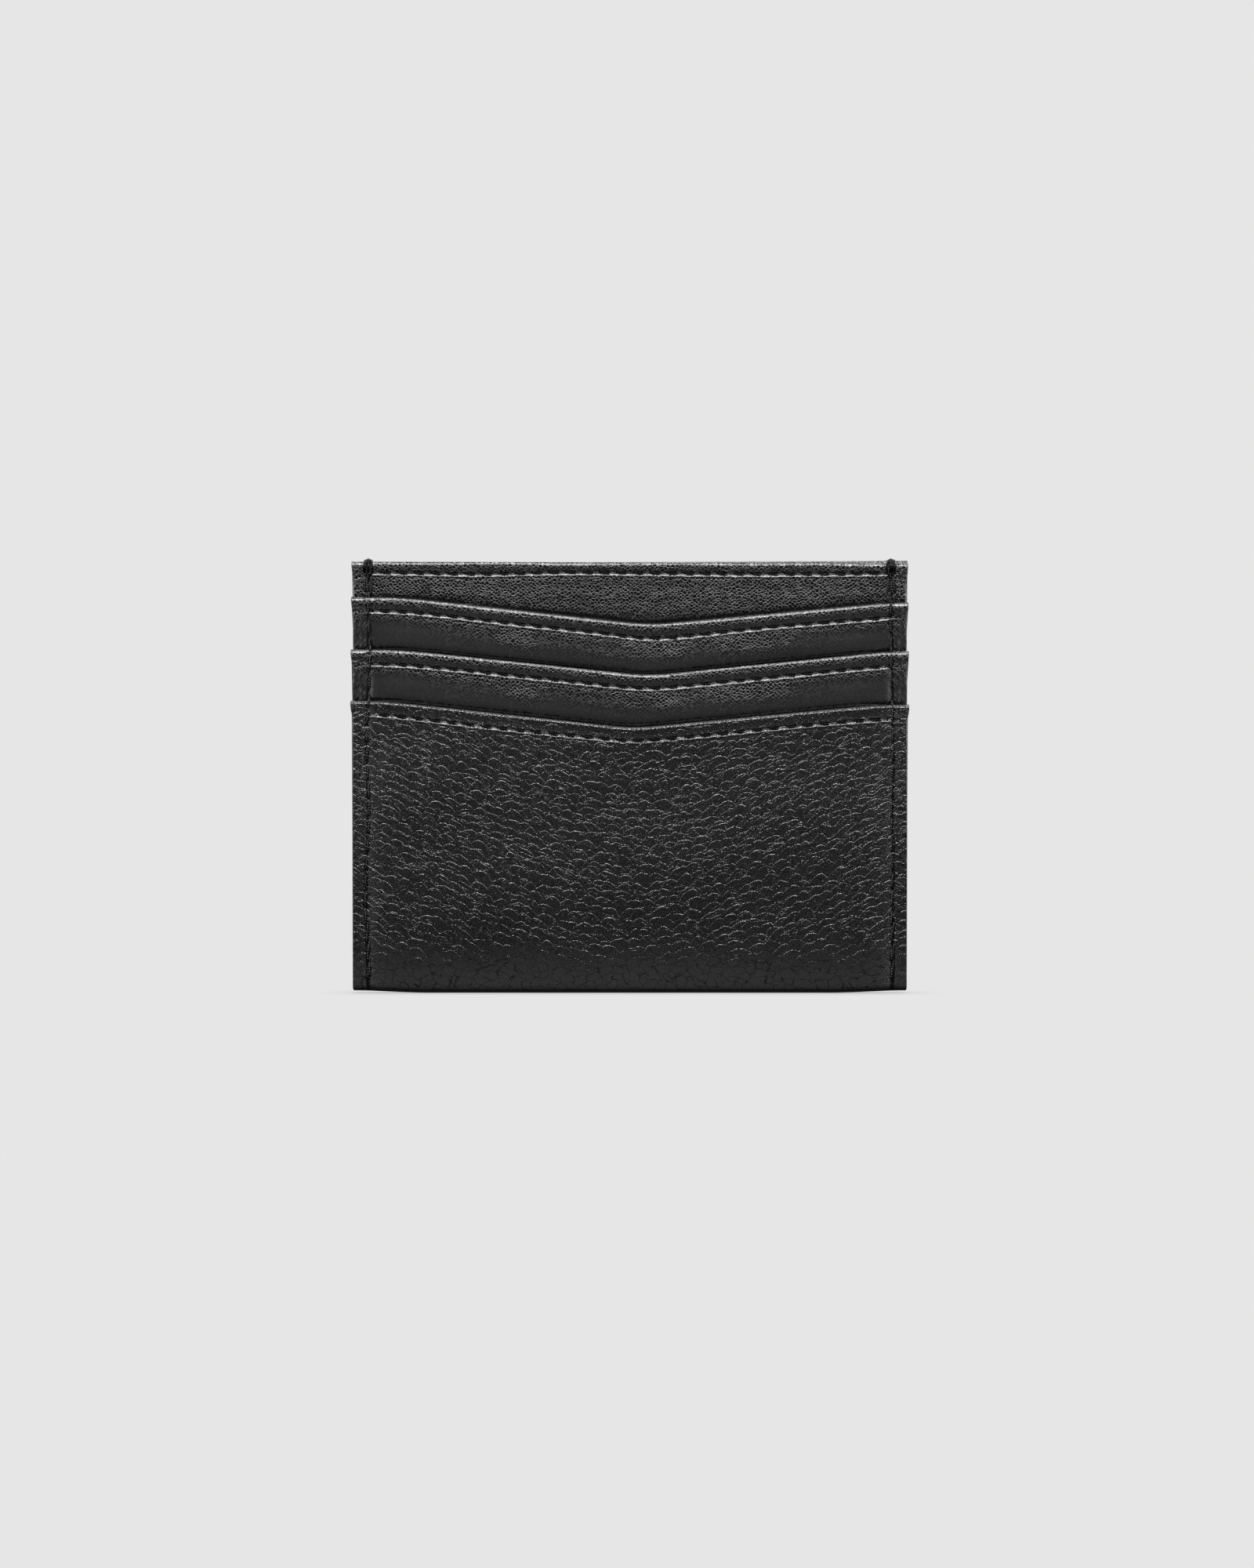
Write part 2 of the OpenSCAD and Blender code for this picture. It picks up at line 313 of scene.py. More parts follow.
# -------- meshes
def columns():
    """Places across the width, closer together at the two cut edges."""
    inner = HALF_W - 1.0 * MM
    middle = np.linspace(-inner, inner, int(2 * inner / (0.34 * MM)) + 1)
    ease = HALF_W - EDGE_R * (1 - np.sin(np.linspace(0, math.pi / 2, 5)))
    ends = np.concatenate([[HALF_W - 0.75 * MM, HALF_W - 0.45 * MM], ease])
    return np.concatenate([-ends[::-1], middle, ends])


def edge_share(x):
    """How much of the thickness is left at a rounded cut edge."""
    t = np.clip((np.abs(x) - (HALF_W - EDGE_R)) / EDGE_R, 0, 0.92)
    return np.sqrt(1 - t * t)


def tube_faces(rings, points):
    """Faces between neighbouring rings of points, and one across each end."""
    i = np.arange(rings - 1)[:, None] * points
    j = np.arange(points)[None, :]
    k = (j + 1) % points
    faces = np.stack([i + j, i + k, i + points + k, i + points + j], -1).reshape(-1, 4).tolist()
    faces.append(list(range(points - 1, -1, -1)))
    faces.append(list(range((rings - 1) * points, rings * points)))
    return faces


def add(name, data):
    """A linked object with this data."""
    obj = bpy.data.objects.new(name, data)
    bpy.context.collection.objects.link(obj)
    return obj


def new_object(name, verts, faces):
    """An object with outward normals, smooth apart from its end faces."""
    mesh = bpy.data.meshes.new(name)
    mesh.from_pydata(verts, [], faces)
    mesh.update()
    obj = add(name, mesh)
    work = bmesh.new()
    work.from_mesh(mesh)
    bmesh.ops.recalc_face_normals(work, faces=work.faces)
    for face in work.faces:
        face.smooth = len(face.verts) == 4
    work.to_mesh(mesh)
    work.free()
    return obj


def sweep(name, rings, grain, masks):
    """A closed solid from rings[column, point, xyz], with the masks its material reads."""
    obj = new_object(name, rings.reshape(-1, 3).tolist(), tube_faces(*rings.shape[:2]))
    for key, values in {"grain": grain, **masks}.items():
        kind, field = ("FLOAT_VECTOR", "vector") if key == "grain" else ("FLOAT", "value")
        attribute = obj.data.attributes.new(key, kind, "POINT")
        attribute.data.foreach_set(field, values.reshape(-1).astype(np.float32))
    return obj


def crest_radius(hem):
    """Radius of a turned edge's crest: the thick leather bends less tightly."""
    return THIN_CREST_R if hem < SHELL_T + TURN_T else THICK_CREST_R


def roll_height(hem):
    """Height over which a turned edge curves to the front."""
    radius = crest_radius(hem)
    rest = hem / 2 - radius * math.sin(CREST_TURN)
    return radius * (1 - math.cos(CREST_TURN)) + 2 * rest * math.tan(CREST_TURN)


def lip_roll(hem, steps=9):
    """(drop, inset) round a turned edge from its apex to its outer face."""
    a = np.linspace(0, CREST_TURN, steps)
    drop = crest_radius(hem) * (1 - np.cos(a))
    inset = hem / 2 - crest_radius(hem) * np.sin(a)
    t = np.linspace(0, 1, steps)[1:]
    drop = np.concatenate([drop, drop[-1] + (roll_height(hem) - drop[-1]) * t])
    inset = np.concatenate([inset, inset[-1] * (1 - t) ** 2])
    return drop, inset


def front_stations(length, hem):
    """Distances below the apex along a face, fine near the edge."""
    start = roll_height(hem)
    near = np.arange(start, 1.85 * MM, 0.18 * MM)[1:]
    row = np.arange(1.9 * MM, 3.4 * MM, 0.07 * MM)
    after = np.arange(3.5 * MM, 6.2 * MM, 0.25 * MM)
    fine = np.concatenate([near, row, after])
    coarse = np.linspace(6.2 * MM, length, max(int((length - 6.2 * MM) / (0.42 * MM)), 2))
    return np.concatenate([fine, coarse])


def flare(drop):
    """The pressed ends of a turned edge spread sideways."""
    return 0.38 * MM * (1 - smooth(drop, 0.6 * MM, 3.6 * MM))


def skin(layer, X, Z, D, inset, outside, proud=0.0, painted=False):
    """Places on a wall's outer or inner side, D below its edge."""
    share = edge_share(X)
    thick = np.where(D < FLAP_H + 0.02 * MM, layer.hem, layer.leather)
    depth = inset * share + thick * (1 - share) / 2
    plain = wall_depth(layer, X, Z)
    full = outer_face(layer, X, Z)
    roll = np.clip(D / roll_height(layer.hem), 0, 1)
    Y = np.where(outside, plain + (full - plain) * roll, plain) + layer.back * depth
    if painted:
        fill = edge_fill(X) * smooth(D, 0.8 * MM, 1.6 * MM)
        Y = Y + (painted_depth(layer, X, Z) - Y) * fill
    spread = 1 + (flare(D) + proud) / HALF_W * smooth(np.abs(X), SEAM_X - 1.5 * MM, HALF_W)
    return np.stack([X * spread, Y, Z], -1)


def panel_mesh(name, layer, length):
    """A panel of leather with a turned edge, as a closed solid."""
    roll_drop, roll_inset = lip_roll(layer.hem)
    face = front_stations(length, layer.hem)
    drops = np.concatenate([
        roll_drop, face,
        np.linspace(length, FLAP_H + 0.05 * MM, 10),
        np.linspace(FLAP_H, roll_height(layer.hem), 12), roll_drop[::-1][1:-1]])
    insets = np.concatenate([
        roll_inset, face * 0,
        np.full(10, layer.leather), np.full(12, layer.hem), layer.hem - roll_inset[::-1][1:-1]])
    outside = np.arange(len(drops)) < len(roll_drop) + len(face)
    x = columns()
    X = np.broadcast_to(x[:, None], (len(x), len(drops)))
    D = np.broadcast_to(drops, X.shape)
    Z = layer.lip(X) - D
    rings = skin(layer, X, Z, D, insets, outside, proud=PANEL_PROUD)
    down = (layer.lip(X) - Z) / MM * np.where(outside, 1, -1)
    grain = np.stack([X / MM, down, np.full_like(X, layer.low_z / MM)], -1)
    masks = {
        "cut": cut_end(X),
        "smoothed": smoothed(layer, X, D),
        "pressed": pressed(layer, X, Z, D),
        "shine": np.maximum(bell(D, 0.30 * MM, 0.20 * MM),
                            row_shine(layer, X, D, 0.38 * MM, 0.14 * MM)),
        "below_row": below_row(layer, X, D),
    }
    return sweep(name, rings, grain, masks)


def cut_end(X):
    """Where the leather is cut through and painted."""
    return smooth(np.abs(X), HALF_W - 0.2 * MM, HALF_W - 0.03 * MM)


def row_shine(layer, X, D, below, width):
    """The polished line just below a stitch row."""
    return 0.7 * bell(D - row_drift(layer, X), below, width) * between_seams(X)


def below_row(layer, X, D):
    """Distance below the stitch row in mm, kept small away from it."""
    apart = np.where(np.abs(X) < SEAM_X - 0.6 * MM, (D - row_drift(layer, X)) / MM, 2.0)
    return np.clip(apart, -2.0, 2.0)


def smoothed(layer, X, D):
    """Where the fine grain has been stretched flat: below the row, at the sides and low down."""
    edge = 0.35 * bell(D, 0.25 * MM, 0.30 * MM)
    band = np.maximum(edge, 0.80 * bell(D, layer.row_drop - 0.75 * MM, 0.50 * MM))
    if layer is TOP:
        return np.maximum(0.5 * smooth(D, 7.5 * MM, 11.5 * MM), band * 0.45)
    wander = 0.9 * MM * waves(X, D, 11 * MM, 77)
    low = smooth(D + wander, 3.2 * MM, 9.5 * MM)
    sides = smooth(np.abs(X - 2 * MM), 20 * MM, 48 * MM)
    flat = 1 - (1 - low) * (1 - sides * smooth(D, 2.6 * MM, 6.0 * MM))
    return np.clip(np.maximum(flat, band), 0, 1)


def pressed(layer, X, Z, D):
    """Where shade is painted into the leather's colour, and its roughness lowered: under stitches,
    on a crest and in a pocket's mouth.
    """
    seams = sum(bell(X, seam_line(side, Z), 0.44 * MM) for side in (-1, 1))
    row = row_drift(layer, X)
    sewn = np.abs(X) < SEAM_X
    wide = bell(D, row - 0.10 * MM, 0.27 * MM) * sewn
    thin = bell(D, row - 0.04 * MM, 0.08 * MM) * sewn
    near_hole = holes_relief(X, 1.0, row_holes(), 0.44 * MM)
    row = np.maximum(wide * (1 - 0.90 * near_hole), 0.30 * thin)
    crest = 1 - smooth(D, 0.02 * MM, 0.15 * MM)
    mouth = 0.0
    if layer in FRONT_LAYERS[1:]:
        uneven = 0.12 * MM * waves(X, Z, 1.2 * MM, 91)
        mouth = 1 - smooth(Z - layer_below(layer).lip(X) + uneven, 0.15 * MM, 1.15 * MM)
    return np.clip(1.4 * seams + row + crest + mouth, 0, 1)


def edge_fill(x):
    """1 in the outermost part of the width, where edge paint closes the stack."""
    return smooth(np.abs(x), HALF_W - PAINT_W, HALF_W - 0.72 * MM)


def painted_depth(layer, x, z):
    """How far in a wall's inner side reaches where the stack is painted over."""
    reach = layer.back * PAINT_MEET
    if layer is BACK:
        for below, above in zip(FRONT_LAYERS[:-1], FRONT_LAYERS[1:]):
            behind = wall_depth(above, x, z) + above.leather - 0.05 * MM
            reach = np.where(z > below.lip(x) - 1.0 * MM, behind, reach)
    return reach


def shell_mesh(name):
    """Front wall, fold and back wall as one closed solid."""
    x = columns()[:, None]
    n_fold = 22
    turned = 12 * MM            # the stations follow the edge down to here

    def wall(layer, count, outside, upward):
        """Points from the turned edge down to the fold, or back up."""
        roll_drop, roll_inset = lip_roll(layer.hem)
        if outside:
            drops = np.concatenate([roll_drop, front_stations(turned, layer.hem)])
            insets = np.concatenate([roll_inset, np.zeros(len(drops) - len(roll_drop))])
        else:
            drops = np.concatenate([
                roll_drop[1:], np.linspace(roll_height(layer.hem) * 1.1, FLAP_H, 8),
                [FLAP_H + 0.05 * MM, turned]])
            insets = np.concatenate([
                layer.hem - roll_inset[1:], np.full(8, layer.hem), np.full(2, layer.leather)])
        top = layer.lip(x)
        foot = FOLD_H + fold_base(x)
        t = np.linspace(0, 1, count)[1:]
        Z = np.concatenate([top - drops, top - turned + (foot - (top - turned)) * t], 1)
        inset = np.concatenate([insets, np.full(count - 1, 0.0 if outside else layer.leather)])
        if upward:
            Z, inset = Z[:, ::-1], inset[::-1]
        X = np.broadcast_to(x, Z.shape)
        D = layer.lip(X) - Z
        return skin(layer, X, Z, D, inset, outside, painted=not outside)

    def fold(outside, backward):
        a = np.linspace(0, math.pi, n_fold + 2)[1:-1]
        if backward:
            a = a[::-1]
        X = np.broadcast_to(x, (len(x), n_fold))
        share = edge_share(X)
        foot = fold_base(X) + FOLD_H
        front = outer_face(FRONT, X, foot)
        rear = outer_face(BACK, X, foot)
        inset = (0 if outside else SHELL_T) * share + SHELL_T * (1 - share) / 2
        half = (rear - front) / 2 - inset
        if not outside:
            half = half + (0.01 * MM - half) * edge_fill(X)
        cos, sin = np.cos(a), np.sin(a)
        Y = (rear + front) / 2 - half * (np.sign(cos) * np.abs(cos) ** FOLD_SQUARE)
        Z = foot - (FOLD_H - inset) * np.abs(sin) ** FOLD_SQUARE
        return np.stack([X, Y, Z], -1)

    rings = np.concatenate([
        wall(FRONT, 150, True, False), fold(True, False), wall(BACK, 150, True, True),
        wall(BACK, 90, False, False), fold(False, True), wall(FRONT, 50, False, True)], 1)
    X, Y, Z = np.moveaxis(rings, -1, 0)
    in_front = Y < 0
    # the grain runs on round the fold, and its rows hang in a shallow curve
    along = np.where(in_front, Z, 2 * fold_base(X) - Z - 4 * MM)
    grain = np.stack([X / MM, along / MM, X * 0], -1)
    # far from the front lip on the back wall, so that only the back wall's edge counts there
    drop = np.minimum(FRONT.lip(X) - Z + (Y > 0) * 1, BACK.lip(X) - Z)
    masks = {
        "cut": cut_end(X),
        "smoothed": np.maximum(0.25 * bell(drop, 0.35 * MM, 0.35 * MM),
                               0.75 * bell(drop, 1.5 * MM, 0.7 * MM)),
        "pressed": np.where(in_front, pressed(FRONT, X, Z, drop), pressed(BACK, X, Z, drop)),
        "shine": np.maximum(bell(drop, 0.38 * MM, 0.28 * MM),
                            row_shine(FRONT, X, drop, 0.36 * MM, 0.16 * MM)),
        "below_row": np.where(in_front, below_row(FRONT, X, drop), below_row(BACK, X, drop)),
    }
    return sweep(name, rings, grain, masks)


def fold_base(x):
    """Height of the fold's lowest line: its two ends sit a little higher."""
    return CORNER_LIFT * smooth(np.abs(x), 36 * MM, HALF_W)


# -------- hidden layers
def inner_face(layer, x, z):
    """Depth of the front wall's or the back wall's inner face."""
    return wall_depth(layer, x, z) + layer.back * SHELL_T


def lining_depth(node, x, z):
    """Depth of a pocket lining's front, between its neighbours at that height."""
    front, rear = inner_face(FRONT, x, z), inner_face(BACK, x, z) - LINING_ROOM
    if node == "centre_pocket_back_lining":
        return rear

    def share_of(depth, front_wall, back_wall):
        room = (back_wall - SHELL_T - LINING_ROOM) - (front_wall + SHELL_T)
        return (depth - front_wall - SHELL_T) / room

    low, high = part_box(node)
    mid, side = low.y, high.y - LINING_T * 1.25
    if low.y > 0:
        mid, side = high.y - LINING_T * 1.25, low.y
    mid = share_of(mid, FRONT.mid, BACK.mid)
    side = share_of(side, FRONT.side, BACK.side)
    share = side + (mid - side) * pinch(x)
    return front + (rear - front - LINING_T) * np.clip(share, 0.0, 1.0)


def sheet_rings(X, Y, Z, thick):
    """A sheet's front, and its rear that far behind it."""
    face = np.stack([X, Y, Z], -1)
    return np.concatenate([face, face[:, ::-1] + np.array([0, thick, 0])], 1)


def cloth(name, node, depth, top, low, half, thick, seed, step=1.6 * MM):
    """A thin closed sheet between a lip line and its pocket's bottom."""
    x = np.linspace(-half, half, int(2 * half / step))
    t = np.linspace(0, 1, 40)
    X = np.broadcast_to(x[:, None], (len(x), len(t)))
    Z = top(X) + (low - top(X)) * t
    Y = depth(X, Z) + 0.03 * MM * waves(X, Z, 14 * MM, seed)
    rings = sheet_rings(X, Y, Z, thick)
    obj = sweep(name, rings, rings[..., [0, 2, 1]] / MM, {})
    place_piece(obj, node)
    return obj


def place_piece(obj, node, finish=None):
    """A piece rides with the holder and stands for its CAD node, in that node's finish."""
    slot = next(s["material_slot"] for s in frame["record"]["subparts"] if s["node"] == node)
    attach(obj, BODY)
    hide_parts(node)
    obj.data.materials.append(MATERIALS[finish or slot])


# -------- thread
def strand(path, normal, radius, phase, sides=6):
    """One ply of a two-ply thread along a path, as (verts, faces)."""
    tangent = np.gradient(path, axis=0)
    tangent /= np.linalg.norm(tangent, axis=1)[:, None]
    side = np.cross(tangent, normal)
    side /= np.linalg.norm(side, axis=1)[:, None]
    up = np.cross(side, tangent)
    run = np.concatenate([[0], np.cumsum(np.linalg.norm(np.diff(path, axis=0), axis=1))])
    turn = (2 * math.pi * run / TWIST + phase)[:, None]
    middle = path + radius * 0.85 * (np.cos(turn) * side + np.sin(turn) * up)
    a = np.linspace(0, 2 * math.pi, sides, endpoint=False)
    ring = (np.cos(a)[None, :, None] * side[:, None] + np.sin(a)[None, :, None] * up[:, None])
    verts = (middle[:, None] + radius * ring).reshape(-1, 3)
    return verts, tube_faces(len(path), sides)


def thread_mesh(node, runs, ply=PLY_R, finish=None):
    """All the stitches of one row or seam, each a twisted pair of plies."""
    verts, faces, count = [], [], 0
    for path, normal in runs:
        for phase in (0.0, math.pi):
            v, f = strand(path, normal, ply, phase)
            verts.append(v)
            faces += [[i + count for i in face] for face in f]
            count += len(v)
    name = "thread_" + node.replace("_stitching", "")
    place_piece(new_object(name, np.concatenate(verts).tolist(), faces), node, finish)


def stitch_arch(t):
    """Height of a stitch over the leather: it dives into a hole at each end."""
    return -0.03 * MM - 0.50 * MM * (2 * np.abs(t - 0.5)) ** 5


def row_runs(layer, seed):
    """The stitches of a lip's row, each leaning a little."""
    rng = np.random.default_rng(seed)
    holes = row_holes()
    normal = np.array([0, -float(layer.back), 0])
    t = np.linspace(0, 1, 15)
    runs = []
    for a, b in zip(holes[:-1], holes[1:]):
        lean = rng.uniform(0.15, 0.23) * MM
        gap = (b - a - STITCH_LEN) / 2
        x = a + gap + t * STITCH_LEN
        z = layer.lip(x) - row_drift(layer, x) - lean * (2 * t - 1)
        y = outer_face(layer, x, z)
        y = y.mean() + (y - y.mean()) * 0.3 - layer.back * stitch_arch(t)
        runs.append((np.stack([x, y, z], -1), normal))
    return runs


def hidden_row(lining, z):
    """A row inside a pocket, on the front of its lining."""
    t = np.linspace(0, 1, 9)
    normal = np.array([0, -1.0, 0])
    runs = []
    for a in row_holes()[:-1]:
        x = a + t * STITCH_LEN
        level = np.full(len(t), z)
        y = lining_depth(lining, x, level) - 0.18 * MM - stitch_arch(t) * 0.5
        runs.append((np.stack([x, y, level], -1), normal))
    return runs


def stack_front(x, z):
    """Depth of whichever wall is the front one at that place."""
    y = outer_face(TOP, x, z)
    for layer in (UPPER, MIDDLE, FRONT):
        y = np.where(z < layer.lip(x) - 0.1 * MM, outer_face(layer, x, z), y)
    return y


def draped(y, back):
    """A thread can't follow a sharp step, so it bridges it on the outside."""
    y = back * y
    for merge in (np.min, np.mean):
        wide = np.pad(y, 2, mode="edge")
        y = merge([wide[i:i + len(y)] for i in range(5)], 0)
    return back * y


def seam_stitch(side, back, low, high, shift=0.0, slant=0.0):
    """One stitch of a side seam, on the front (back=1) or on the back wall."""
    t = np.linspace(0, 1, 15)
    z = low + (high - low) * t
    x = seam_line(side, z) + shift + slant * (t - 0.5)
    y = stack_front(x, z) if back > 0 else outer_face(BACK, x, z)
    y = draped(y, back) - back * (stitch_arch(t) + 0.04 * MM)
    return np.stack([x, y, z], -1), np.array([0, -float(back), 0])


def top_loop(side, shift, lean, reach):
    """Thread that wraps over the top edges at the end of a side seam."""
    t = np.linspace(0, 1, 25)
    z0 = TOP_Z - 1.7 * MM
    x = seam_line(side, z0) + shift + lean * (t - 0.5)
    front, rear = (float(outer_face(wall, x[:1], np.array([z0]))[0]) for wall in (TOP, BACK))
    angle = math.pi * t
    half = (rear - front) / 2 + reach
    y = (rear + front) / 2 - half * np.sign(np.cos(angle)) * np.abs(np.cos(angle)) ** 0.55
    z = z0 + (TOP_Z + reach - z0) * np.sin(angle) ** 0.45
    return np.stack([x, y, z], -1), np.array([float(side), 0.0, 0.0])


def seam_runs(side):
    """All the stitches of a side seam, front and back, and its loops over the top."""
    rng = np.random.default_rng(400 + side)
    holes = seam_holes()
    spans = list(zip(holes[:-1], holes[1:]))
    gap = 0.28 * MM
    runs = []
    for a, b in spans:
        for back in (1, -1):
            slant = rng.uniform(-0.16, 0.16) * MM
            runs.append(seam_stitch(side, back, a + gap, b - gap, slant=slant))
    # backtacks: the seam is sewn over itself at both ends, more often at the top
    for a, b in [span for span in spans if span[1] < 13 * MM or span[0] > 68 * MM]:
        for back in (1, -1):
            for shift in (0.34, -0.30, 0.60, -0.54) if a > 40 * MM else (0.28,):
                off = shift * MM + rng.uniform(-0.08, 0.08) * MM
                slide = rng.uniform(0.5, 1.4) * MM
                high = min(b - 0.2 * MM + slide, TOP_Z - 0.5 * MM)
                slant = rng.uniform(-0.5, 0.5) * MM
                runs.append(seam_stitch(side, back, a + 0.2 * MM + slide, high, off, slant))
    for shift in (-0.55, -0.28, -0.02, 0.24, 0.50):
        reach = (0.36 - 0.45 * abs(shift)) * MM + rng.uniform(-0.04, 0.04) * MM
        runs.append(top_loop(side, shift * MM, rng.uniform(-0.5, 0.5) * MM, reach))
    return runs


# -------- materials
class Shader:
    """Small helper for building node trees."""

    def __init__(self, name, surface="BsdfPrincipled"):
        self.material = bpy.data.materials.new(name)
        self.material.use_nodes = True
        self.tree = self.material.node_tree
        self.tree.nodes.clear()
        self.surface = self.node(surface)
        self.node("OutputMaterial", Surface=self.surface.outputs[0])

    def node(self, kind, **settings):
        """A node: lower-case settings are its properties, the others its inputs."""
        n = self.tree.nodes.new("ShaderNode" + kind)
        for key, value in settings.items():
            if key.islower():
                setattr(n, key, value)
            else:
                self.put(value, n.inputs[key.replace("_", " ")])
        return n

    def put(self, value, socket):
        if isinstance(value, bpy.types.NodeSocket):
            self.tree.links.new(value, socket)
        else:
            socket.default_value = value

    def feed(self, kind, values, **settings):
        """First output of a node with the values on its first inputs."""
        n = self.node(kind, **settings)
        for value, socket in zip(values, n.inputs):
            self.put(value, socket)
        return n.outputs[0]

    def math(self, op, a, b=0.0, c=0.0):
        return self.feed("Math", (a, b, c), operation=op)

    def mul(self, a, b):
        return self.math("MULTIPLY", a, b)

    def sub(self, a, b):
        return self.math("SUBTRACT", a, b)

    def size(self, value):
        """The value without its sign."""
        return self.math("ABSOLUTE", value)

    def max(self, a, b):
        return self.math("MAXIMUM", a, b)

    def mul_add(self, a, b, c):
        return self.math("MULTIPLY_ADD", a, b, c)

    def inverse(self, value):
        """1 - value"""
        return self.sub(1.0, value)

    def vector(self, op, a, b):
        return self.feed("VectorMath", (a, b), operation=op)

    def join(self, x, y):
        return self.feed("CombineXYZ", (x, y, 0.0))

    def scaled(self, vector, x, y, z=1.0):
        return self.vector("MULTIPLY", vector, (x, y, z))

    def step(self, value, low, high, to_low=0.0, to_high=1.0):
        """value from low to high, eased, gives to_low to to_high."""
        return self.node("MapRange", interpolation_type="SMOOTHSTEP", Value=value, From_Min=low,
                         From_Max=high, To_Min=to_low, To_Max=to_high).outputs[0]

    def fall(self, value, low, high):
        """1 below low, 0 above high, eased between."""
        return self.step(value, low, high, 1.0, 0.0)

    def noise(self, vector, scale, detail=2.0, rough=0.5, out="Fac"):
        return self.node("TexNoise", Vector=vector, Scale=scale, Detail=detail,
                         Roughness=rough).outputs[out]

    def cells(self, vector, feature="DISTANCE_TO_EDGE", randomness=1.0):
        return self.node("TexVoronoi", feature=feature, Vector=vector, Scale=1.0,
                         Randomness=randomness).outputs["Distance"]

    def spots(self, along):
        """Distance to the nearest of random places on a line."""
        return self.node("TexVoronoi", voronoi_dimensions="1D", W=along, Scale=1.0,
                         Randomness=0.7).outputs["Distance"]

    def attribute(self, name):
        return self.node("Attribute", attribute_name=name).outputs["Fac"]

    def grain(self):
        """Place on the leather in mm: across it, and along its face."""
        return self.node("Attribute", attribute_name="grain").outputs["Vector"]

    def place(self):
        return self.node("TexCoord").outputs["Object"]

    def split(self, vector):
        return self.node("SeparateXYZ", Vector=vector).outputs

    def blend(self, share, a, b):
        n = self.node("Mix", data_type="RGBA", Factor=share)
        # the node's two colour inputs and its colour output
        self.put(a, n.inputs[6])
        self.put(b, n.inputs[7])
        return n.outputs[2]

    def bump(self, height, distance, after=None):
        n = self.node("Bump", Strength=1.0, Distance=distance, Height=height)
        if after is not None:
            self.put(after, n.inputs["Normal"])
        return n.outputs[0]

    def finish(self, colour, roughness, normal, **values):
        values.update(Base_Color=colour, Roughness=roughness, Normal=normal)
        for key, value in values.items():
            self.put(value, self.surface.inputs[key.replace("_", " ")])
        return self.material


def grey(value):
    return (value, value, value, 1.0)


PAINT = grey(0.004)      # edge paint on cut leather
PAINTED_SHADE = grey(0.0008)   # painted shade under stitches, on a crest and in a pocket's mouth
PAINTED_HIGHLIGHT = grey(0.040)     # painted highlight on the folds pulled up between two stitches
CREASE_SHADE = grey(0.0006)    # painted shade at the bottom of a thin crease or of a pit in the grain


def warped(s, vector, scale, reach):
    """Moves a pattern about, so that its cells aren't regular."""
    offset = s.vector("SUBTRACT", s.noise(vector, scale, out="Color"), (0.5, 0.5, 0.5))
    return s.vector("ADD", vector, s.scaled(offset, reach, reach, 0.0))


def scales(s, place, pitch, width, rise):
    """Signed height above the nearest scalloped line, for rows of overlapping scales."""
    u, v, _ = s.split(place)
    level = s.math("DIVIDE", v, pitch)
    row = s.math("FLOOR", level)
    up = s.sub(level, row)
    near = s.spots(s.mul_add(row, 37.7, s.math("DIVIDE", u, width)))
    arc = s.mul(s.math("POWER", near, 2.0), rise)
    line = s.max(s.sub(0.80, arc), 0.16)
    return s.mul(s.sub(up, line), pitch)


